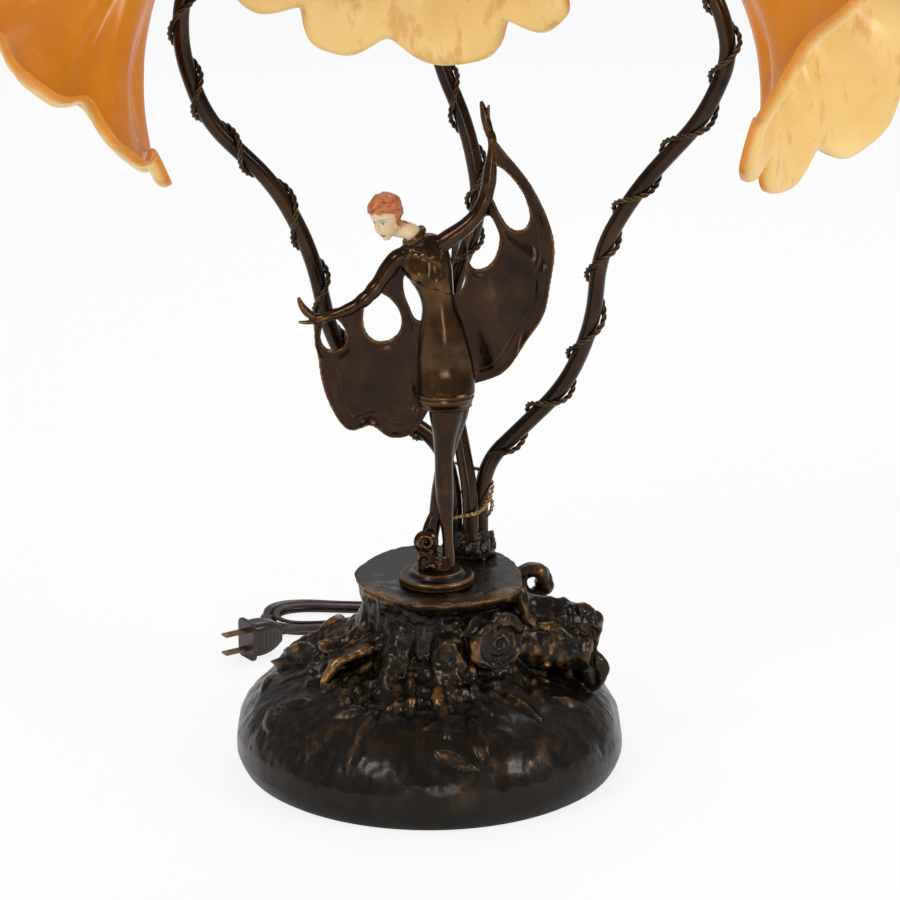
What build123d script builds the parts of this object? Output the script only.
from build123d import *
import math
import os

# Figural table lamp: a dancer stands on a cast tree stump, and three bent arms behind the
# figure carry lily shades.  Millimetres, +Z up, +X to the right and +Y to the rear, origin on
# the table under the middle of the base.

os.makedirs("parts", exist_ok=True)

# ---------------------------------------------------------------- driving dimensions
fit_gap = 0.15  # side clearance between pieces that slide together and then stay put
seat_gap = 0.05  # face clearance between stacked pieces
run_gap = 0.05  # radial clearance of a turning shaft

felt_r = 112.0
felt_t = 1.5
base_r = 120.0
base_foot_r = 115.0
base_widest_z = 14.0
base_wall = 5.0
mound_points = ((118.5, 27.0), (107.0, 45.0), (86.0, 58.0), (58.0, 69.0))  # radius, height
cover_r = 104.0
cover_t = 1.6
cover_screw_r = 2.0
cover_screw_len = 14.0
cover_screw_pcd = 130.0
boss_r = 6.0

stump_top_z = 121.0
stump_foot_z = 56.0
stump_oval = 1.15  # front-to-rear size over width
# height, middle and half width of the trunk's cross-sections
stump_stations = (
    (stump_foot_z, (5.0, 4.0), 60.0),
    (82.0, (9.0, 8.0), 47.0),
    (104.0, (11.0, 15.0), 43.0),
    (stump_top_z - 5.0, (7.0, 5.5), 49.0),
    (stump_top_z, (6.5, 3.5), 50.0),
)
# roots: bearing, reach from the middle, thickness
roots = (
    (203, 104, 13),
    (236, 98, 10),
    (262, 97, 12),
    (288, 100, 10),
    (318, 103, 12),
    (95, 92, 12),
    (130, 98, 12),
)
# thick roots: bearing, then distance out, height and radius of each section
buttresses = (
    (165, ((30, 78, 20), (62, 66, 16), (96, 50, 9))),
    (352, ((36, 88, 22), (70, 82, 17), (100, 76, 10))),
    (10, ((36, 70, 22), (72, 60, 17), (106, 46, 9))),
    (40, ((30, 90, 18), (62, 84, 13), (94, 60, 9))),
)
# root loops standing proud: bearing, distance out, height, ring radius
root_loops = ((357, 88, 88, 13.0), (354, 96, 64, 11.0), (28, 72, 104, 9.0))
knot_bearing = 318.0
knot_out = 60.0
knot_z = 93.0
knot_r = 13.0
stub_bearing = 195.0
branch_stubs = ((92.0, 6.5), (83.0, 8.0), (73.0, 6.0))  # height, radius
branch_len = 46.0
deck_t = 6.0
wire_hole_r = 2.8

pedestal_at = (4.5, -8.0)
pedestal_r = 23.0
pedestal_step_r = 17.5
pedestal_h = 8.0
figure_bolt_r = 3.0
figure_bolt_at = (6.5, -8.0)
figure_boss_r = 8.0
figure_boss_h = 9.0

tube_r = 5.0
fork_z = 160.0  # the three arms stand upright side by side up to here
tube_wall = 1.0
wire_r = 1.8
wire_sides = 6
hook_r = 30.0
hook_straight = 9.0
vine_r = 1.9
vine_pitch = 42.0
vine_sides = 6
vine_stop = 110.0  # left bare below the socket
clump_r = 19.0
clump_h = 20.0
clump_leaves = 7
leaf_w = 11.0
leaf_t = 6.0
leaf_inset = 5.0
leaf_lean = 0.08
leaf_step = 5.0  # every second leaf is this much longer
clump_screw_r = 1.5
clump_screw_len = 11.0
bushing_r = 5.2
loop_thick = 4.5

socket_r = 16.5
socket_wall = 0.8
cap_neck_r = 7.5
cap_len = 18.0
cap_grip = 7.0
cap_dome_z = (1.5, 4.6, 11.0)  # where the cap's shoulder starts, bulges and ends
shell_len = 40.0
shell_lap = 5.0
core_z = 14.0
core_len = 22.0
barrel_len = 15.0
key_z = 27.0
key_root = 4.0
key_shaft_r = 1.5
key_reach = 24.0
key_collar_r = 2.5
key_collar_len = 2.5
key_paddle = (13.0, 9.0, 2.6)

holder_r = 31.0
holder_wall = 1.0
holder_z = 47.0
holder_depth = 16.0
holder_hub = 3.0
holder_bend = 4.0
thumb_r = 1.6
thumb_knob_r = 4.0
thumb_knob_len = 6.0
thumb_drop = 10.0
thumb_stand = 4.0

neck_r = 28.5
neck_from_tube = 56.0
neck_lip = 5.0
neck_len = 9.0
shade_len = 130.0
shade_t = 2.6
shade_lobes = 7
# distance from the neck plane, mean radius and ruffle height of each section of a shade
shade_sections = (
    (neck_len, neck_r, 0.0),
    (32.0, 33.0, 0.0),
    (62.0, 43.0, 0.5),
    (92.0, 59.0, 2.5),
    (112.0, 74.0, 6.0),
    (shade_len, 90.0, 10.0),
)
bulb_r = 22.0
bulb_len = 76.0
bulb_cap_r = 13.0
bulb_cap_len = 24.0

cord_d = 5.4
cord_sides = 8
cord_exit = (24.0, 12.0)  # across, height
hank_mid = (-39.0, 247.0)
hank_half_len = 78.0
hank_step = 6.6
hank_waist_step = 7.0
hank_loops = 2  # in each of two layers
hank_inner_r = 19.0
hank_waist_inner = 9.0
waist_bulge = 3.6  # how far the runs swing out beside the tie
tie_t = 0.4
tie_w = 4.0
hank_layer_gap = 0.6

plug_w = 27.0
plug_t = 20.0
plug_len = 26.0
blade_gap = 12.7
blade_w = 6.35
blade_t = 1.5
blade_len = 17.0
blade_seat = 8.0
blade_hole_r = 1.6
plug_flange = 2.6
# length from the cord, height and thickness of the grip's sections
plug_sections = ((0.05, 12.0, 10.0), (6.0, 19.0, 14.0), (plug_len - plug_flange, plug_w - 4.0, plug_t - 4.0))
plug_end = (-102.3, 191.0)  # where the cord goes into the plug
plug_heading = (-0.82, -0.57)

# ---------------------------------------------------------------- lights
# foot: where the tube stands on the deck.  bends: route of the bent tube above it.
# tip: where the tube enters the socket.  aim: direction of the shade's mouth.
lights = {
    "left": {
        "foot": (15.5, 47.2),
        "bends": (
            (7.0, 48.5, 192.0),
            (-38.0, 42.5, 226.0),
            (-60.0, 38.5, 262.0),
            (-71.5, 34.0, 318.0),
            (-92.0, 30.5, 360.0),
            (-134.0, 25.5, 402.0),
            (-147.5, 21.5, 445.0),
            (-146.5, 20.0, 478.0),
        ),
        "tip": (-125.4, -21.2, 590.4),
        "aim": (-0.596, -0.241, -0.766),
        "vine_start": 205.0,
        "key_turn": 180.0,
    },
    "centre": {
        "foot": (25.6, 42.2),
        "bends": (
            (19.0, 49.0, 196.0),
            (8.5, 53.5, 246.0),
            (14.0, 57.5, 290.0),
            (32.5, 63.0, 338.0),
            (24.0, 68.0, 386.0),
            (4.0, 74.0, 432.0),
            (1.5, 78.0, 480.0),
            (2.0, 83.0, 545.0),
        ),
        "tip": (0.9, 35.7, 649.9),
        "aim": (-0.102, -0.724, -0.682),
        "vine_start": 262.0,
        "key_turn": 0.0,
    },
    "right": {
        "foot": (31.6, 50.6),
        "bends": (
            (38.0, 49.5, 182.0),
            (84.0, 38.0, 232.0),
            (100.0, 29.5, 274.0),
            (103.0, 22.0, 322.0),
            (126.0, 13.5, 364.0),
            (163.0, 2.5, 408.0),
            (178.0, -2.5, 446.0),
            (170.5, -5.0, 478.0),
        ),
        "tip": (138.9, -32.4, 581.7),
        "aim": (0.638, -0.498, -0.588),
        "vine_start": 205.0,
        "key_turn": 0.0,
    },
}

# ---------------------------------------------------------------- dancer's shapes
hem_z = 233.0
# height, across, depth, width, thickness and sideways lean of the body's sections
torso = (
    (hem_z + 1.0, 9.5, -8.0, 33.0, 23.0, 0.0),
    (252.0, 10.0, -8.0, 35.5, 25.0, 0.0),
    (272.0, 8.5, -8.0, 32.0, 22.0, 2.0),
    (292.0, 6.5, -8.0, 26.5, 18.5, 6.0),
    (306.0, 4.0, -8.0, 24.5, 18.0, 12.0),
    (318.0, 0.0, -8.5, 28.5, 20.0, 18.0),
    (329.0, -4.5, -8.5, 31.0, 16.5, 22.0),
    (337.0, -8.0, -9.0, 17.0, 14.5, 24.0),
)
neck_at = (-9.5, -10.0, 340.0)
neck_way = (-0.62, -0.12, 0.77)
neck_radius = 5.0
neck_socket = 5.0
collar_t = 3.4
collar_h = 3.2
collar_rise = 0.6
head_pin_r = 1.2
head_pin_len = 9.0
head_at = (-25.5, -13.0, 352.0)
head_way = (-0.35, -0.25, 0.9)
head_w = 19.5
head_h = 28.0
neck_rise = 5.0
# share of the head's height from its middle, and share of its width
head_sections = (
    (-0.5, 0.22),
    (-0.42, 0.56),
    (-0.22, 0.84),
    (0.06, 1.0),
    (0.3, 0.9),
    (0.44, 0.6),
    (0.5, 0.2),
)
# sections of each limb: place and radius
front_leg = (
    ((9.0, -9.5, 240.0), 8.2),
    ((9.5, -10.0, 214.0), 7.2),
    ((9.0, -9.5, 190.0), 5.6),
    ((9.5, -8.5, 176.0), 5.4),
    ((10.5, -8.0, 158.0), 3.9),
    ((11.5, -8.0, 142.0), 3.4),
    ((11.5, -9.0, 131.0), 4.2),
)
rear_leg = (
    ((17.0, -4.0, 240.0), 7.5),
    ((13.0, -2.5, 212.0), 5.8),
    ((7.5, -2.0, 186.0), 4.8),
    ((4.5, -2.5, 166.0), 4.4),
    ((2.5, -3.5, 148.0), 3.2),
    ((3.5, -5.0, 132.0), 3.0),
)
scroll_at = (-2.0, -9.5, 146.5)
scroll_r = 5.5
right_arm = (
    ((6.0, -8.5, 333.0), 5.2),
    ((12.0, -9.0, 337.5), 5.6),
    ((22.0, -9.0, 345.0), 4.9),
    ((31.5, -9.0, 357.0), 4.4),
    ((35.6, -9.0, 371.0), 4.3),
    ((37.6, -9.0, 390.0), 3.1),
    ((36.4, -9.0, 402.0), 2.6),
)
right_fingers = (
    (((36.4, -9.0, 400.0), 2.4), ((33.6, -9.0, 410.0), 2.8), ((31.0, -9.0, 421.0), 1.0)),
    (((36.0, -9.0, 402.0), 1.8), ((35.0, -10.0, 412.0), 1.3), ((35.5, -11.0, 419.0), 0.9)),
)
left_arm = (
    ((-14.0, -9.0, 327.5), 5.2),
    ((-18.5, -9.5, 325.5), 5.4),
    ((-27.0, -10.5, 315.0), 4.9),
    ((-35.0, -11.5, 304.0), 4.5),
    ((-46.0, -12.0, 295.5), 3.8),
    ((-59.0, -12.0, 290.5), 3.0),
    ((-67.0, -12.0, 288.5), 2.6),
)
left_fingers = (
    (((-65.5, -12.0, 288.8), 2.4), ((-72.0, -12.0, 292.0), 2.6), ((-78.0, -12.0, 302.0), 1.0)),
    (((-66.0, -12.0, 288.0), 1.9), ((-72.5, -12.5, 286.5), 1.4), ((-78.0, -13.0, 287.0), 0.9)),
)
cape_t = 2.4
cape_top_z = 412.0
cape_bottom_z = 196.0
cape_front_y = {"left": -18.5, "right": -13.5}  # at the top of the sheet
cape_slope = 0.085
cape_fold = 2.2
cape_folds = {
    "left": ((-84, 1.0), (-68, -0.6), (-54, 0.8), (-40, -0.8), (-26, 0.8), (-12, -0.4), (6, 0.6)),
    "right": ((2, 0.4), (18, -0.5), (32, 0.8), (46, -0.8), (60, 0.8), (72, -0.6), (86, 0.8)),
}
left_cape = ((4.0, 236.0), (3.0, 320.0), (-16.0, 327.0), (-27.0, 315.0), (-45.0, 296.0), (-70.0, 288.0))
left_hem = (
    (-70.0, 288.0),
    (-66.0, 256.0),
    (-58.0, 227.0),
    (-47.0, 215.5),
    (-36.0, 219.0),
    (-26.0, 211.5),
    (-13.0, 212.0),
    (-6.0, 219.0),
    (4.0, 236.0),
)
# gaps between the hanging straps: across, height, width, length and turn
left_cape_gaps = (
    (-11.0, 301.0, 9.5, 27.0, 14.0),
    (-29.5, 288.0, 17.0, 29.0, 10.0),
    (-57.5, 277.0, 13.0, 19.0, 6.0),
)
right_cape = (
    (10.0, 240.0),
    (13.5, 300.0),
    (13.5, 337.0),
    (22.0, 344.5),
    (31.5, 356.5),
    (36.0, 371.0),
    (37.6, 396.0),
    (40.0, 397.0),
)
right_hem = (
    (40.0, 397.0),
    (56.0, 376.0),
    (70.0, 351.0),
    (75.0, 330.0),
    (72.5, 308.0),
    (69.0, 289.0),
    (58.0, 270.0),
    (46.0, 253.0),
    (28.0, 243.0),
    (10.0, 240.0),
)
right_cape_gaps = (
    (20.0, 319.0, 8.5, 32.0, -6.0),
    (33.0, 334.0, 15.0, 32.0, -14.0),
    (47.0, 362.0, 15.5, 40.0, 24.0),
)

deck_z = stump_top_z - deck_t
casting_z = felt_t + seat_gap
cover_top_z = casting_z + cover_t
hollow_r = base_r - 2.4 * base_wall
hollow_top_z = 60.0
boss_top_z = 57.0
bushing_face_y = base_r - 5.0
bushing_len = 14.0
bushing_flange = 3.0
bushing_lip = 2.2
block_size = (27.0, 15.0, 14.0)
block_z = 62.0
wire_spread = 8.0
wire_rise = 9.0
wire_turn = 14.0  # below the deck's underside
washer_t = 1.2
clump_at = (24.5, 45.5)
clump_screws_at = ((14.0, 38.0), (33.5, 35.5))
block_at = (20.0, 33.0)


def save(part, name):
    """Label a finished piece and write its own STEP file."""
    part.label = name
    export_step(part, f"parts/{name}.step")


def corner_radii(points, share=0.45):
    """Largest arcs that two neighbouring runs of a route have room for."""
    radii = []
    for before, corner, after in zip(points, points[1:], points[2:]):
        run_in = Vector(*corner) - Vector(*before)
        run_out = Vector(*after) - Vector(*corner)
        half_turn = math.radians(run_in.get_angle(run_out)) / 2
        radii.append(share * min(run_in.length, run_out.length) / math.tan(half_turn))
    return radii


def across(start, end):
    """Plane at the start of a run, square to it."""
    return Plane(origin=start, z_dir=Vector(*end) - Vector(*start))


def head_plane(light, along, turn=0.0):
    """Plane square to a lamp head's axis, this far past the end of its tube."""
    aim = Vector(*light["aim"]).normalized()
    side = aim.cross(Vector(0, 0, 1)).normalized().rotate(Axis((0, 0, 0), aim), turn)
    return Plane(origin=Vector(*light["tip"]) + aim * along, x_dir=side, z_dir=aim)


def tube_route(light, start_z):
    """Route of a bent arm, closed by the hook that turns it over into its socket."""
    foot = Vector(*light["foot"], start_z)
    fork = Vector(*light["foot"], fork_z)
    aim = Vector(*light["aim"]).normalized()
    tip = Vector(*light["tip"])
    hook_end = tip - aim * hook_straight
    last = Vector(*light["bends"][-1])
    to_last = last - hook_end
    square = (to_last - aim * to_last.dot(aim)).normalized()
    centre = hook_end + square * hook_r
    reach = last - centre
    rise = math.acos(hook_r / reach.length)
    along = reach.dot(aim)
    out = reach.dot(square)
    angle = math.atan2(along, out) - rise
    leave = centre + (square * math.cos(angle) + aim * math.sin(angle)) * hook_r
    heading = (leave - last).normalized()
    corner = hook_r * math.tan((math.pi + angle) / 4)
    first = leave + heading * corner
    second = hook_end - aim * corner
    return [foot, fork, *(Vector(*p) for p in light["bends"]), first, second, tip]


def tube_radii(route):
    radii = corner_radii(route)
    radii[-2:] = [0.97 * hook_r] * 2
    return radii


# ---------------------------------------------------------------- base
def stump_section(height, middle, radius):
    """Cross-section of the trunk: an uneven oval, longer from front to rear."""
    count = 14
    outline = []
    for i in range(count):
        angle = 2 * math.pi * i / count
        swell = 1 + 0.035 * math.cos(2 * angle + 0.8) + 0.04 * math.cos(5 * angle + 2.6)
        across_x = middle[0] + radius * swell * math.cos(angle)
        across_y = middle[1] + stump_oval * radius * swell * math.sin(angle)
        outline.append((across_x, across_y))
    with BuildSketch(Plane.XY.offset(height)) as section:
        with BuildLine():
            Spline(*outline, periodic=True)
        make_face()
    return section.sketch


def limb(way, stations):
    """Tapering limb of the casting: each station is distance out, height and radius."""
    with BuildPart() as grown:
        for out, height, radius in stations:
            with BuildSketch(Plane(origin=way * out + Vector(0, 0, height), z_dir=way)):
                Circle(radius)
        loft()
    return grown.part


def bearing_way(bearing):
    return Vector(1, 0, 0).rotate(Axis.Z, bearing)


with BuildPart() as base_casting:
    with BuildSketch(Plane.XZ) as mound:
        with BuildLine():
            Line((0, casting_z), (base_foot_r, casting_z))
            ThreePointArc((base_foot_r, casting_z), (base_r, base_widest_z), mound_points[0])
            Spline(*mound_points, tangents=[(-0.25, 1), (-1, 0.45)])
            Polyline(mound_points[-1], (0, mound_points[-1][1]), (0, casting_z))
        make_face()
    revolve(axis=Axis.Z)
    for height, middle, radius in stump_stations:
        add(stump_section(height, middle, radius))
    loft()
    for bearing, reach, thick in roots:
        way = bearing_way(bearing)
        middle = (0.25 * reach, stump_foot_z + 20, 1.2 * thick)
        add(limb(way, (middle, (0.55 * reach, 64, thick), (reach, 36, 0.45 * thick))))
    for bearing, stations in buttresses:
        add(limb(bearing_way(bearing), stations))
    for bearing, out, height, ring in root_loops:
        way = bearing_way(bearing)
        with Locations(Plane(origin=way * out + Vector(0, 0, height), z_dir=way.rotate(Axis.Z, 78))):
            Torus(ring, loop_thick)
    for height, radius in branch_stubs:
        way = bearing_way(stub_bearing)
        with BuildSketch(Plane(origin=way * 24 + Vector(0, 0, height), z_dir=way + Vector(0, 0, -0.3))):
            Circle(radius)
        extrude(amount=branch_len, taper=3)
    knot_way = bearing_way(knot_bearing)
    with BuildSketch(Plane(origin=knot_way * (knot_out - 22) + Vector(0, 0, knot_z), z_dir=knot_way)):
        Circle(knot_r + 5)
    extrude(amount=22, taper=6)
    with BuildSketch(Plane(origin=knot_way * knot_out + Vector(0, 0, knot_z), z_dir=knot_way)):
        Circle(knot_r)
        Circle(knot_r - 3, mode=Mode.SUBTRACT)
        Circle(knot_r - 6)
        Circle(knot_r - 9, mode=Mode.SUBTRACT)
    extrude(amount=-4, mode=Mode.SUBTRACT)

    # hollow inside and open below, with a rebate for the cover plate
    with BuildSketch(Plane.XZ) as hollow:
        with BuildLine():
            Polyline(
                (0, casting_z),
                (cover_r + fit_gap, casting_z),
                (cover_r + fit_gap, cover_top_z),
                (hollow_r, cover_top_z),
                (hollow_r, 20),
                (hollow_r - 14, 42),
                (46, hollow_top_z),
                (0, hollow_top_z),
                (0, casting_z),
            )
        make_face()
    revolve(axis=Axis.Z, mode=Mode.SUBTRACT)
    for height, station in ((hollow_top_z - 1, 1), (stump_stations[2][0], 2), (deck_z, 3)):
        add(stump_section(height, stump_stations[station][1], stump_stations[station][2] - base_wall))
    loft(mode=Mode.SUBTRACT)
    with BuildSketch(Plane.XY.offset(cover_top_z + seat_gap)):
        with PolarLocations(cover_screw_pcd / 2, 3, start_angle=30):
            Circle(boss_r)
    extrude(amount=boss_top_z - cover_top_z)
    with BuildSketch(Plane.XY.offset(cover_top_z)):
        with PolarLocations(cover_screw_pcd / 2, 3, start_angle=30):
            Circle(cover_screw_r + fit_gap)
    extrude(amount=cover_screw_len, mode=Mode.SUBTRACT)

    # through the deck: the dancer's bolt, the clump's screws and the wires
    with BuildSketch(Plane.XY.offset(deck_z - 1)):
        with Locations(figure_bolt_at):
            Circle(figure_bolt_r + fit_gap)
        with Locations(*clump_screws_at):
            Circle(clump_screw_r + fit_gap)
    extrude(amount=deck_t + 2, mode=Mode.SUBTRACT)
    with BuildSketch(Plane.XY.offset(stump_top_z + 1)):
        with Locations(*[light["foot"] for light in lights.values()]):
            Circle(wire_hole_r)
    extrude(amount=-deck_t - 22, mode=Mode.SUBTRACT)
    # cord hole, low in the rear wall
    with BuildSketch(Plane(origin=(cord_exit[0], hollow_r - 20, cord_exit[1]), z_dir=(0, 1, 0))):
        Circle(bushing_r + fit_gap)
    extrude(amount=40, mode=Mode.SUBTRACT)
    with BuildSketch(Plane(origin=(cord_exit[0], bushing_face_y - seat_gap, cord_exit[1]), z_dir=(0, 1, 0))):
        Circle(bushing_r + bushing_lip + fit_gap)
    extrude(amount=10, mode=Mode.SUBTRACT)
save(base_casting.part, "base_casting")

with BuildPart() as base_felt:
    with BuildSketch():
        Circle(felt_r)
    extrude(amount=felt_t)
save(base_felt.part, "base_felt")

screw_places = [Vector(cover_screw_pcd / 2, 0, 0).rotate(Axis.Z, 30 + 120 * i) for i in range(3)]
with BuildPart() as base_cover_plate:
    with BuildSketch(Plane.XY.offset(casting_z)):
        Circle(cover_r)
    extrude(amount=cover_t)
    with Locations(*[Plane((p.X, p.Y, casting_z), z_dir=(0, 0, -1)) for p in screw_places]):
        CounterSinkHole(cover_screw_r + fit_gap, 2 * cover_screw_r + fit_gap, cover_t, 90)
save(base_cover_plate.part, "base_cover_plate")

with BuildPart() as cover_screws:
    for place in screw_places:
        with BuildSketch(Plane.XY.offset(casting_z)):
            with Locations((place.X, place.Y)):
                Circle(2 * cover_screw_r - fit_gap)
        extrude(amount=cover_t, taper=45)
        with BuildSketch(Plane.XY.offset(casting_z)):
            with Locations((place.X, place.Y)):
                Circle(cover_screw_r)
        extrude(amount=cover_screw_len)
save(cover_screws.part, "cover_screws")

bushing_plane = Plane(origin=(cord_exit[0], bushing_face_y, cord_exit[1]), z_dir=(0, 1, 0))
with BuildPart() as cord_bushing:
    with BuildSketch(bushing_plane):
        Circle(bushing_r)
    extrude(amount=-bushing_len)
    with BuildSketch(bushing_plane):
        Circle(bushing_r + bushing_lip)
    extrude(amount=bushing_flange)
    fillet(cord_bushing.faces().sort_by(Axis.Y)[-1].edges(), 0.9)
    with BuildSketch(bushing_plane.offset(bushing_flange)):
        Circle(cord_d / 2 + fit_gap)
    extrude(amount=-bushing_len - bushing_flange, mode=Mode.SUBTRACT)
save(cord_bushing.part, "cord_bushing")

with BuildPart() as terminal_block:
    with BuildSketch(Plane.XY.offset(block_z)):
        with Locations(block_at):
            RectangleRounded(*block_size[:2], 2)
    extrude(amount=block_size[2])
    with BuildSketch(Plane.XY.offset(block_z + block_size[2])):
        with Locations(block_at):
            with GridLocations(wire_spread, 6, 3, 2):
                Circle(1.2)
    extrude(amount=-2, mode=Mode.SUBTRACT)
save(terminal_block.part, "terminal_block")

# ---------------------------------------------------------------- foot of the three arms
clump_z = stump_top_z + seat_gap
with BuildPart() as stem_clump:
    for height, radius in ((0, clump_r), (5, clump_r - 2), (clump_h, clump_r - 6)):
        with BuildSketch(Plane.XY.offset(clump_z + height)):
            with Locations(clump_at):
                Circle(radius)
    loft()
    for i in range(clump_leaves):
        lean = bearing_way(15 + 360 / clump_leaves * i)
        leaf_root = Vector(*clump_at, clump_z + 0.5) + lean * (clump_r - leaf_inset)
        leaf_way = Vector(0, 0, 1) + lean * leaf_lean
        with BuildSketch(Plane(leaf_root, x_dir=lean.rotate(Axis.Z, 90), z_dir=leaf_way)):
            Ellipse(leaf_w / 2, leaf_t / 2)
        extrude(amount=clump_h + leaf_step * (i % 2), taper=4)
    with BuildSketch(Plane.XY.offset(clump_z)):
        with Locations(*[light["foot"] for light in lights.values()]):
            Circle(tube_r + fit_gap)
    extrude(amount=2 * clump_h, mode=Mode.SUBTRACT)
    with BuildSketch(Plane.XY.offset(clump_z)):
        with Locations(*clump_screws_at):
            Circle(clump_screw_r + fit_gap)
    extrude(amount=clump_screw_len - deck_t, mode=Mode.SUBTRACT)
save(stem_clump.part, "stem_clump")

with BuildPart() as clump_screws:
    for place in clump_screws_at:
        with BuildSketch(Plane.XY.offset(deck_z - seat_gap)):
            with Locations(place):
                Circle(2 * clump_screw_r)
        extrude(amount=-1.6)
        with BuildSketch(Plane.XY.offset(deck_z - seat_gap)):
            with Locations(place):
                Circle(clump_screw_r)
        extrude(amount=clump_screw_len - 1)
save(clump_screws.part, "clump_screws")

# ---------------------------------------------------------------- figure: pedestal and bolt
pedestal_z = stump_top_z + seat_gap
with BuildPart() as figure_pedestal:
    with BuildSketch(Plane.XY.offset(pedestal_z)):
        with Locations(pedestal_at):
            Circle(pedestal_r)
    extrude(amount=0.62 * pedestal_h)
    fillet(figure_pedestal.faces().sort_by(Axis.Z)[-1].edges(), 1.6)
    with BuildSketch(Plane.XY.offset(pedestal_z + 0.62 * pedestal_h)):
        with Locations(pedestal_at):
            Circle(pedestal_step_r)
    extrude(amount=0.38 * pedestal_h, taper=35)
    with BuildSketch(Plane.XY.offset(pedestal_z)):
        with Locations(figure_bolt_at):
            Circle(figure_bolt_r + fit_gap)
    extrude(amount=pedestal_h, mode=Mode.SUBTRACT)
save(figure_pedestal.part, "figure_pedestal")

figure_z = pedestal_z + pedestal_h + seat_gap
with BuildPart() as figure_washer:
    with BuildSketch(Plane.XY.offset(deck_z - seat_gap)):
        with Locations(figure_bolt_at):
            Circle(3 * figure_bolt_r)
            Circle(figure_bolt_r + fit_gap, mode=Mode.SUBTRACT)
    extrude(amount=-washer_t)
save(figure_washer.part, "figure_washer")

with BuildPart() as figure_bolt:
    with BuildSketch(Plane.XY.offset(deck_z - 2 * seat_gap - washer_t)):
        with Locations(figure_bolt_at):
            RegularPolygon(1.92 * figure_bolt_r, 6)
    extrude(amount=-1.33 * figure_bolt_r)
    with BuildSketch(Plane.XY.offset(deck_z - 2 * seat_gap - washer_t)):
        with Locations(figure_bolt_at):
            Circle(figure_bolt_r)
    extrude(amount=figure_z + figure_boss_h - 2 - deck_z + 2 * seat_gap + washer_t)
save(figure_bolt.part, "figure_bolt")


# ---------------------------------------------------------------- arms, vines and wires
def around(centre_line, start, end, radius, pitch, sides):
    """Corners of a route that winds round a bent tube, this many to a turn."""
    count = round((end - start) / pitch * sides)
    normal = Vector(0, 1, 0)
    corners = []
    for i in range(count + 1):
        place = start + (end - start) * i / count
        heading = centre_line.tangent_at(place, position_mode=PositionMode.LENGTH)
        middle = centre_line.position_at(place, position_mode=PositionMode.LENGTH)
        normal = (normal - heading * normal.dot(heading)).normalized()
        turn = 2 * math.pi * i / sides
        corners.append(middle + (normal * math.cos(turn) + heading.cross(normal) * math.sin(turn)) * radius)
    return corners


def axial(light):
    """Plane through a lamp head's axis: local x is the radius, local y runs along the aim."""
    aim = Vector(*light["aim"]).normalized()
    side = aim.cross(Vector(0, 0, 1)).normalized()
    return Plane(origin=light["tip"], x_dir=side, z_dir=side.cross(aim))


def head_axis(light):
    return Axis(Vector(*light["tip"]), Vector(*light["aim"]))


def shade_section(light, along, radius, ruffle):
    """One ruffled cross-section of a shade, square to its axis."""
    count = 4 * shade_lobes
    ring = []
    for i in range(count):
        angle = 2 * math.pi * i / count
        wave = radius + ruffle * math.cos(shade_lobes * angle)
        ring.append((wave * math.cos(angle), wave * math.sin(angle)))
    with BuildSketch(head_plane(light, neck_from_tube + along)) as section:
        if ruffle:
            with BuildLine():
                Spline(*ring, periodic=True)
            make_face()
        else:
            Circle(radius)
    return section.sketch


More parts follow.
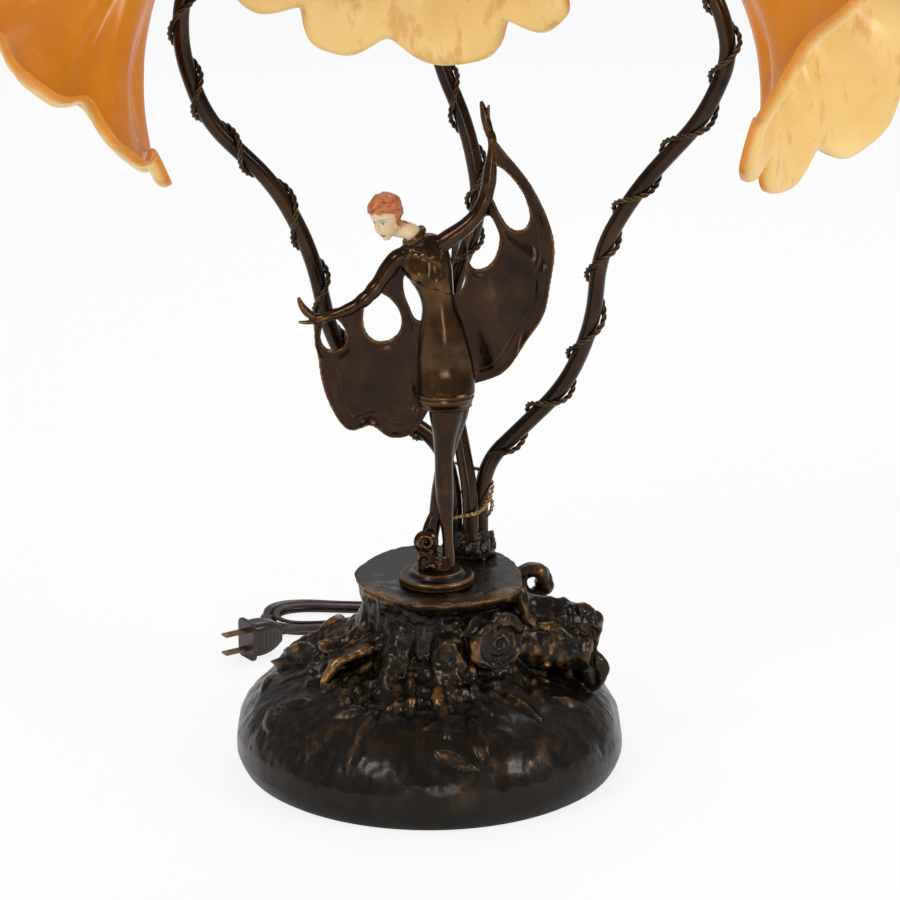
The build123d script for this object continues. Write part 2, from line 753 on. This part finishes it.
thumb_screws = []
for name, light in lights.items():
    route = tube_route(light, clump_z + seat_gap)
    tip = Vector(*light["tip"])
    aim = Vector(*light["aim"]).normalized()
    bore_r = tube_r - tube_wall

    with BuildPart() as arm_tube:
        with BuildLine() as arm_line:
            FilletPolyline(*route, radius=tube_radii(route))
        with BuildSketch(across(route[0], route[1])):
            Circle(tube_r)
            Circle(bore_r, mode=Mode.SUBTRACT)
        sweep()
    centre_line = arm_line.wire()
    print(name, "arm", round(centre_line.length), "mm, smallest bend", round(min(tube_radii(route)), 1))
    save(arm_tube.part, f"arm_tube_{name}")

    winding_r = (tube_r + vine_r + 2 * fit_gap) / math.cos(math.pi / vine_sides)
    vine_from = light["vine_start"] - clump_z
    vine_to = centre_line.length - vine_stop
    vine_corners = around(centre_line, vine_from, vine_to, winding_r, vine_pitch, vine_sides)
    with BuildPart() as vine:
        with BuildLine():
            Polyline(*vine_corners)
        with BuildSketch(across(vine_corners[0], vine_corners[1])):
            RegularPolygon(vine_r, 5)
        sweep(transition=Transition.RIGHT)
    save(vine.part, f"vine_{name}")

    with BuildPart() as socket_cap:
        grip_r = tube_r + fit_gap
        skirt_r = socket_r - socket_wall
        with BuildSketch(axial(light)):
            with BuildLine():
                Polyline((grip_r, -cap_grip), (cap_neck_r, -cap_grip), (cap_neck_r, cap_dome_z[0]))
                ThreePointArc(
                    (cap_neck_r, cap_dome_z[0]),
                    (0.82 * socket_r, cap_dome_z[1]),
                    (socket_r, cap_dome_z[2]),
                )
                Polyline(
                    (socket_r, cap_dome_z[2]),
                    (socket_r, cap_len),
                    (skirt_r, cap_len),
                    (skirt_r, cap_dome_z[2]),
                )
                ThreePointArc(
                    (skirt_r, cap_dome_z[2]),
                    (0.76 * socket_r, cap_dome_z[1] + 0.6),
                    (bore_r, cap_dome_z[0] + tube_wall),
                )
                Polyline(
                    (bore_r, cap_dome_z[0] + tube_wall),
                    (bore_r, seat_gap),
                    (grip_r, seat_gap),
                    (grip_r, -cap_grip),
                )
            make_face()
        revolve(axis=head_axis(light))
    save(socket_cap.part, f"socket_cap_{name}")

    key_plane = head_plane(light, key_z, light["key_turn"])
    key_out = Plane(origin=key_plane.origin, x_dir=aim, z_dir=key_plane.x_dir)
    print(name, "key axis", key_out.z_dir, "at", key_out.origin)
    shell_r = socket_r - socket_wall - fit_gap
    with BuildPart() as socket_shell:
        with BuildSketch(head_plane(light, cap_len - shell_lap)):
            Circle(shell_r)
            Circle(shell_r - socket_wall, mode=Mode.SUBTRACT)
        extrude(amount=shell_len)
        with BuildSketch(key_out):
            Circle(key_shaft_r + 0.8)
        extrude(amount=2 * socket_r, mode=Mode.SUBTRACT)
    save(socket_shell.part, f"socket_shell_{name}")

    core_r = shell_r - socket_wall - fit_gap
    with BuildPart() as socket_core:
        with BuildSketch(head_plane(light, core_z)):
            Circle(core_r)
        extrude(amount=core_len)
        with BuildSketch(head_plane(light, core_z + core_len)):
            Circle(core_r)
            Circle(bulb_cap_r + 2 * fit_gap, mode=Mode.SUBTRACT)
        extrude(amount=barrel_len)
        with BuildSketch(key_out.offset(key_root)):
            Circle(key_shaft_r + run_gap)
        extrude(amount=2 * socket_r, mode=Mode.SUBTRACT)
    save(socket_core.part, f"socket_core_{name}")

    with BuildPart() as socket_key:
        with BuildSketch(key_out.offset(key_root + seat_gap)):
            Circle(key_shaft_r)
        extrude(amount=key_reach - key_root)
        with BuildSketch(key_out.offset(key_reach - 1)):
            Circle(key_collar_r)
        extrude(amount=key_collar_len)
        paddle_mid = key_out.origin + key_out.z_dir * (key_reach + key_paddle[1] / 2)
        with BuildSketch(Plane(paddle_mid, x_dir=aim, z_dir=key_out.y_dir)):
            SlotOverall(key_paddle[0], key_paddle[1])
        extrude(amount=key_paddle[2] / 2, both=True)
    save(socket_key.part, f"socket_key_{name}")

    with BuildPart() as shade_holder:
        hub_r = shell_r + fit_gap
        inner_r = holder_r - holder_wall
        inner_bend = holder_bend - holder_wall
        floor_r = holder_r - holder_bend
        brim_z = holder_z + holder_depth
        with BuildSketch(axial(light)):
            with BuildLine():
                Polyline(
                    (hub_r, holder_z - holder_hub),
                    (hub_r + holder_wall, holder_z - holder_hub),
                    (hub_r + holder_wall, holder_z),
                    (floor_r, holder_z),
                )
                RadiusArc((floor_r, holder_z), (holder_r, holder_z + holder_bend), -holder_bend)
                Polyline(
                    (holder_r, holder_z + holder_bend),
                    (holder_r, brim_z),
                    (holder_r + holder_wall, brim_z + holder_wall),
                    (inner_r, brim_z + holder_wall),
                    (inner_r, holder_z + holder_bend),
                )
                RadiusArc((inner_r, holder_z + holder_bend), (floor_r, holder_z + holder_wall), inner_bend)
                Polyline(
                    (floor_r, holder_z + holder_wall),
                    (hub_r, holder_z + holder_wall),
                    (hub_r, holder_z - holder_hub),
                )
            make_face()
        revolve(axis=head_axis(light))
        for i in range(3):
            plane = head_plane(light, holder_z + thumb_drop, 30 + 120 * i)
            with BuildSketch(Plane(origin=plane.origin, x_dir=aim, z_dir=plane.x_dir)):
                Circle(thumb_r + fit_gap)
            extrude(amount=2 * holder_r, mode=Mode.SUBTRACT)
    save(shade_holder.part, f"shade_holder_{name}")

    with BuildPart() as shade:
        for grow in (0, shade_t):
            mode = Mode.SUBTRACT if grow else Mode.ADD
            overrun = 0.5 if grow else 0
            with BuildSketch(head_plane(light, neck_from_tube - neck_lip - overrun)):
                Circle(neck_r - grow)
            extrude(amount=neck_lip + neck_len + overrun, mode=mode)
            for along, radius, ruffle in shade_sections:
                place = along + (overrun if along == shade_len else 0)
                add(shade_section(light, place, radius - grow, ruffle))
            loft(mode=mode)
    save(shade.part, f"shade_{name}")

    with BuildPart() as bulb_cap:
        cap_start = core_z + core_len + seat_gap
        with BuildSketch(axial(light)):
            with BuildLine():
                Polyline(
                    (0, cap_start),
                    (4, cap_start),
                    (bulb_cap_r - 2, cap_start + 5),
                    (bulb_cap_r, cap_start + 7),
                    (bulb_cap_r, cap_start + bulb_cap_len),
                    (0, cap_start + bulb_cap_len),
                    (0, cap_start),
                )
            make_face()
        revolve(axis=head_axis(light))
    save(bulb_cap.part, f"bulb_cap_{name}")

    with BuildPart() as bulb_glass:
        glass_start = cap_start + bulb_cap_len + seat_gap
        with BuildSketch(axial(light)):
            with BuildLine():
                Line((0, glass_start), (bulb_cap_r - 1, glass_start))
                Spline(
                    (bulb_cap_r - 1, glass_start),
                    (bulb_r, glass_start + 0.62 * bulb_len),
                    (0, glass_start + bulb_len),
                    tangents=[(0.1, 1), (-1, 0)],
                )
                Line((0, glass_start + bulb_len), (0, glass_start))
            make_face()
        revolve(axis=head_axis(light))
    save(bulb_glass.part, f"bulb_glass_{name}")

    for i in range(3):
        plane = head_plane(light, holder_z + thumb_drop, 30 + 120 * i)
        outward = Plane(origin=plane.origin, x_dir=aim, z_dir=plane.x_dir)
        with BuildPart() as thumb_screw:
            with BuildSketch(outward.offset(neck_r + seat_gap)):
                Circle(thumb_r)
            extrude(amount=holder_r + thumb_stand - neck_r)
            with BuildSketch(outward.offset(holder_r + thumb_stand)):
                Circle(thumb_knob_r)
            extrude(amount=thumb_knob_len)
        thumb_screws.append(thumb_screw.part)
with BuildPart() as shade_screws:
    add(thumb_screws)
save(shade_screws.part, "shade_screws")

with BuildPart() as lamp_wires:
    for i, light in enumerate(lights.values()):
        route = tube_route(light, deck_z - wire_turn)
        clamp_x = block_at[0] + (i - 1) * wire_spread
        aim = Vector(*light["aim"]).normalized()
        start = (clamp_x, block_at[1], block_z + block_size[2] + seat_gap)
        rise = (clamp_x, block_at[1], start[2] + wire_rise)
        route = [start, rise, *route[:-1], route[-1] + aim * (core_z - seat_gap)]
        radii = corner_radii(route)
        radii[-2:] = [0.97 * hook_r] * 2
        with BuildLine():
            FilletPolyline(*route, radius=radii)
        with BuildSketch(across(route[0], route[1])):
            RegularPolygon(wire_r, wire_sides)
        sweep()
save(lamp_wires.part, "lamp_wires")


# ---------------------------------------------------------------- dancer
def body_section(height, across_x, depth_y, wide, deep, tilt=0.0):
    """Oval cross-section of the body, leaning sideways with the shoulders."""
    lean = Vector(-math.sin(math.radians(tilt)), 0, math.cos(math.radians(tilt)))
    level = Plane(origin=(across_x, depth_y, height), x_dir=lean.cross(Vector(0, -1, 0)), z_dir=lean)
    with BuildSketch(level) as section:
        Ellipse(wide / 2, deep / 2)
    return section.sketch


def limb_through(stations, squash=1.0):
    """Limb lofted through round sections, each square to the way it runs there."""
    places = [Vector(*station[0]) for station in stations]
    with BuildPart() as grown:
        for i, (place, (_, radius)) in enumerate(zip(places, stations)):
            heading = places[min(i + 1, len(places) - 1)] - places[max(i - 1, 0)]
            with BuildSketch(Plane(origin=place, x_dir=heading.cross(Vector(0, 1, 0)), z_dir=heading)):
                Ellipse(radius, radius * squash)
        loft()
    return grown.part


collar_plane = Plane(origin=neck_at, z_dir=neck_way)
with BuildPart() as collar:
    with BuildSketch(collar_plane.offset(-collar_h)):
        Circle(neck_radius + collar_t)
    extrude(amount=collar_h + collar_rise)
    fillet(collar.edges().filter_by(GeomType.CIRCLE), 0.3 * (collar_h + collar_rise))

with BuildPart() as dancer_body:
    for station in torso:
        add(body_section(*station))
    loft()
    with BuildSketch(Plane.XY.offset(hem_z)):
        with Locations((torso[0][1], torso[0][2])):
            Ellipse(torso[0][3] / 2 + 1.2, torso[0][4] / 2 + 1.2)
    extrude(amount=5, taper=-4)
    fillet(dancer_body.faces().sort_by(Axis.Z)[0].edges(), 0.8)
    add(collar.part)
    with BuildSketch(collar_plane.offset(collar_rise)):
        Circle(neck_radius + fit_gap)
    extrude(amount=-neck_socket - collar_rise, mode=Mode.SUBTRACT)
    with BuildSketch(collar_plane.offset(-neck_socket)):
        Circle(head_pin_r + fit_gap)
    extrude(amount=-head_pin_len / 2, mode=Mode.SUBTRACT)
save(dancer_body.part, "dancer_body")

with BuildPart() as dancer_legs:
    add(limb_through(front_leg))
    add(limb_through(rear_leg))
    with BuildSketch(Plane.XY.offset(figure_z)):
        with Locations(figure_bolt_at):
            Circle(figure_boss_r)
    extrude(amount=figure_boss_h, taper=14)
    with Locations(Plane(origin=scroll_at, z_dir=(0, -1, 0))):
        Torus(scroll_r, 2.2)
    with BuildSketch(Plane.XY.offset(figure_z)):
        with Locations((scroll_at[0], scroll_at[1])):
            Ellipse(5, 4)
    extrude(amount=scroll_at[2] - scroll_r - figure_z)
    with BuildSketch(Plane.XY.offset(figure_z)):
        with Locations(figure_bolt_at):
            Circle(figure_bolt_r + fit_gap)
    extrude(amount=figure_boss_h - 1.5, mode=Mode.SUBTRACT)
    add(dancer_body.part, mode=Mode.SUBTRACT)
save(dancer_legs.part, "dancer_legs")

dancer_arms = {}
for side, stations, fingers in (("left", left_arm, left_fingers), ("right", right_arm, right_fingers)):
    with BuildPart() as dancer_arm:
        add(limb_through(stations))
        for finger in fingers:
            add(limb_through(finger, squash=0.8))
        add(dancer_body.part, mode=Mode.SUBTRACT)
    dancer_arms[side] = dancer_arm.part
    save(dancer_arm.part, f"dancer_arm_{side}")

for side, outline, hem, gaps in (
    ("left", left_cape, left_hem, left_cape_gaps),
    ("right", right_cape, right_hem, right_cape_gaps),
):
    with BuildPart() as cape:
        # sheet: a folded band seen from above, run down behind the dancer
        with BuildSketch(Plane.XY.offset(cape_top_z)):
            with BuildLine():
                front = [(x, cape_front_y[side] + fold * cape_fold) for x, fold in cape_folds[side]]
                Spline(*front)
                Spline(*[(x, y + cape_t) for x, y in front])
                Line(front[0], (front[0][0], front[0][1] + cape_t))
                Line(front[-1], (front[-1][0], front[-1][1] + cape_t))
            make_face()
        extrude(amount=cape_top_z - cape_bottom_z, dir=(0, cape_slope, -1))
        # cut to its outline, with the gaps between the hanging straps
        with BuildSketch(Plane.XZ.offset(-60)):
            with BuildLine():
                Polyline(*outline)
                Spline(*hem)
            make_face()
            for x, z, wide, tall, turn in gaps:
                with Locations(Location((x, z, 0), (0, 0, turn))):
                    Ellipse(wide / 2, tall / 2, mode=Mode.SUBTRACT)
        extrude(amount=120, mode=Mode.INTERSECT)
        add(dancer_body.part, mode=Mode.SUBTRACT)
        add(dancer_legs.part, mode=Mode.SUBTRACT)
        add(dancer_arms[side], mode=Mode.SUBTRACT)
    save(cape.part, f"cape_{side}")

head_axis_way = Vector(*head_way).normalized()
with BuildPart() as neck:
    neck_foot = collar_plane.origin - collar_plane.z_dir * (neck_socket - seat_gap)
    neck_top = collar_plane.origin + collar_plane.z_dir * neck_rise
    jaw = Vector(*head_at) - head_axis_way * 0.2 * head_h
    for middle, way in ((neck_foot, neck_way), (neck_top, neck_way), (jaw, jaw - neck_top)):
        with BuildSketch(Plane(origin=middle, z_dir=way)):
            Circle(neck_radius)
    loft(ruled=True)
with BuildPart() as dancer_head:
    for share, width in head_sections:
        middle = Vector(*head_at) + head_axis_way * share * head_h
        with BuildSketch(Plane(origin=middle, z_dir=head_axis_way)):
            Circle(width * head_w / 2)
    loft()
    add(neck.part)
    with BuildSketch(collar_plane.offset(-neck_socket)):
        Circle(head_pin_r + fit_gap)
    extrude(amount=head_pin_len / 2, mode=Mode.SUBTRACT)
save(dancer_head.part, "dancer_head")

with BuildPart() as head_pin:
    with BuildSketch(collar_plane.offset(-neck_socket - head_pin_len / 2 + 0.3)):
        Circle(head_pin_r)
    extrude(amount=head_pin_len - 0.6)
save(head_pin.part, "head_pin")


# ---------------------------------------------------------------- cord
low_z = tie_t + 2 * seat_gap + cord_d / 2
high_z = low_z + cord_d + hank_layer_gap


def hank_corners():
    """One unbroken route of oblong loops, in on the lower layer and out on the upper."""
    corners = []
    total = 6 * 2 * hank_loops
    for k in range(total):
        loops_in = hank_loops - min(k, total - 1 - k) / 6
        end_w = hank_inner_r + loops_in * hank_step
        waist_w = hank_waist_inner + loops_in * hank_waist_step
        reach = hank_half_len - (hank_loops - loops_in) * hank_step
        height = low_z if k < total / 2 else high_z
        along = (0, -reach, -reach, 0, reach, reach)[k % 6]
        aside = (-waist_w, -end_w, end_w, waist_w, end_w, -end_w)[k % 6]
        corners.append((hank_mid[0] + along, hank_mid[1] + aside, height))
    return corners


plug_back = Vector(plug_end[0], plug_end[1], plug_w / 2 + 2 * seat_gap)
plug_way = Vector(*plug_heading, 0).normalized()
lead_corners = [
    (block_at[0], block_at[1], block_z - seat_gap),
    (block_at[0], block_at[1], 41.0),
    (21.5, 44.0, 22.0),
    (cord_exit[0], 80.0, cord_exit[1]),
    (cord_exit[0], 143.0, cord_exit[1]),
    (22.0, 173.0, low_z),
    (10.0, 208.0, low_z),
]
tail_corners = [(-18.0, 204.5, high_z + 0.2), (-41.0, 202.5, 5.5), (-62.0, 206.0, 8.0)]
tail_corners += [tuple(plug_back - plug_way * 22.0), tuple(plug_back)]
cord_corners = lead_corners + hank_corners() + tail_corners
cord_radii = corner_radii(cord_corners)


def halfway(index):
    """Middle of the run that follows this corner of the whole route."""
    return tuple((Vector(*cord_corners[index]) + Vector(*cord_corners[index + 1])) / 2)


hank_first = len(lead_corners)
hank_last = len(cord_corners) - len(tail_corners) - 1
stretches = {
    "cord_lead": (lead_corners + [halfway(hank_first - 1)], cord_radii[: hank_first - 1]),
    "cord_hank": (
        [halfway(hank_first - 1), *cord_corners[hank_first : hank_last + 1], halfway(hank_last)],
        cord_radii[hank_first - 1 : hank_last],
    ),
    "cord_tail": ([halfway(hank_last), *tail_corners], cord_radii[hank_last:]),
}
cord_length = 0
for name, (corners, radii) in stretches.items():
    with BuildPart() as stretch:
        with BuildLine() as stretch_line:
            FilletPolyline(*corners, radius=radii)
        with BuildSketch(across(corners[0], corners[1])) as cord_section:
            RegularPolygon(cord_d / 2, cord_sides)
        sweep()
    length = stretch_line.wire().length
    cord_length += length
    share = stretch.part.volume / (cord_section.sketch.area * length)
    print(name, round(length), "mm, volume over section times length", round(share, 4))
    print("  radii", [round(radius, 1) for radius in radii])
    if name == "cord_hank":
        steps = round(length / 3)
        dots = [stretch_line.wire().position_at(i / steps) for i in range(steps + 1)]
        apart = round(12 * cord_d / 3)
        gap = min((a - b).length for i, a in enumerate(dots) for b in dots[i + apart :]) - cord_d
        print("  least gap of the hank to itself", round(gap, 2), "mm")
    save(stretch.part, name)
print("cord length", round(cord_length), "mm")

waist_half = hank_waist_inner + hank_loops * hank_waist_step + cord_d / 2 + waist_bulge
with BuildPart() as cord_tie:
    tie_low = tie_t + seat_gap
    tie_high = high_z + cord_d / 2 + fit_gap
    tie_start = (hank_mid[0] - tie_w / 2, hank_mid[1], (tie_low + tie_high) / 2)
    with BuildSketch(Plane(origin=tie_start, x_dir=(0, 1, 0), z_dir=(1, 0, 0))):
        RectangleRounded(2 * (waist_half + fit_gap + tie_t), tie_high - tie_low + 2 * tie_t, 3)
        RectangleRounded(2 * (waist_half + fit_gap), tie_high - tie_low, 3 - tie_t, mode=Mode.SUBTRACT)
    extrude(amount=tie_w)
save(cord_tie.part, "cord_tie")

plug_plane = Plane(origin=plug_back, x_dir=(0, 0, 1), z_dir=plug_way)
with BuildPart() as plug_body:
    for along, tall, thick in plug_sections:
        with BuildSketch(plug_plane.offset(along)):
            RectangleRounded(tall, thick, 0.3 * thick)
    loft()
    with BuildSketch(plug_plane.offset(plug_len - plug_flange)):
        RectangleRounded(plug_w, plug_t, 4)
    extrude(amount=plug_flange)
    with BuildSketch(plug_plane.offset(plug_len)):
        with GridLocations(blade_gap, 0, 2, 1):
            Rectangle(blade_t + 2 * seat_gap, blade_w + 2 * seat_gap)
    extrude(amount=-blade_seat, mode=Mode.SUBTRACT)
save(plug_body.part, "plug_body")

with BuildPart() as plug_blades:
    with BuildSketch(plug_plane.offset(plug_len - blade_seat + seat_gap)):
        with GridLocations(blade_gap, 0, 2, 1):
            Rectangle(blade_t, blade_w)
    extrude(amount=blade_seat + blade_len)
    blade_hole = plug_back + plug_way * (plug_len + 0.72 * blade_len)
    with BuildSketch(Plane(origin=blade_hole, x_dir=plug_way, z_dir=(0, 0, 1))):
        Circle(blade_hole_r)
    extrude(amount=plug_w, both=True, mode=Mode.SUBTRACT)
save(plug_blades.part, "plug_blades")
